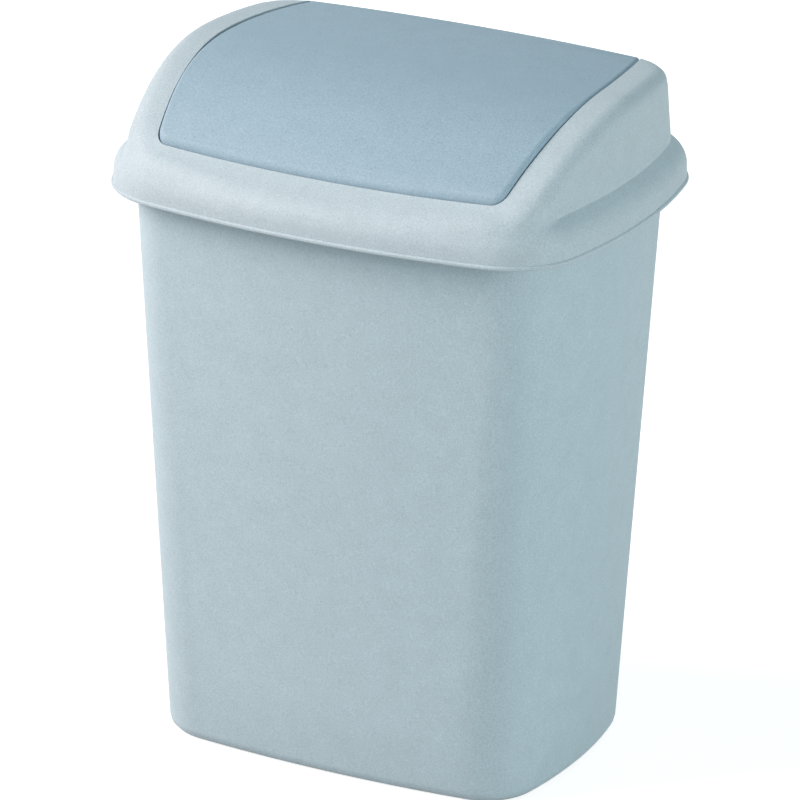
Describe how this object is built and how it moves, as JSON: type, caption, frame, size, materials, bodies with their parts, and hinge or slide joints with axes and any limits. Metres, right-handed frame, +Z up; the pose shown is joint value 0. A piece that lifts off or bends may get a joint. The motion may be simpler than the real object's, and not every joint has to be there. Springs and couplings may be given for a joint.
{
  "type": "swing-lid waste bin",
  "caption": "Tapered kitchen waste bin with a drop-on hood and a swinging flap that closes by its own weight.",
  "frame": {"origin": "on the floor under the middle of the bin", "axes": "+Z up, front towards -Y, +X to the right for someone who looks at the bin's front"},
  "size_m": [0.34, 0.263, 0.451],
  "materials": {
    "tub_plastic": "matt, fine grain",
    "hood_plastic": "matt, fine grain",
    "flap_plastic": "matt, fine grain"
  },
  "bodies": {
    "bin": {"bin_body": "tub_plastic"},
    "lid": {"lid_frame": "hood_plastic"},
    "flap": {"swing_flap": "flap_plastic"}
  },
  "joints": [
    {"name": "lid_lift", "type": "slide", "parent": "bin", "child": "lid", "axis": [0, 0, 1], "range_m": [0, 0.1]},
    {"name": "flap_swing", "type": "hinge", "parent": "lid", "child": "flap", "pos_m": [0, -0.0047, 0.44], "axis": [1, 0, 0], "range_deg": [0, 80]}
  ]
}
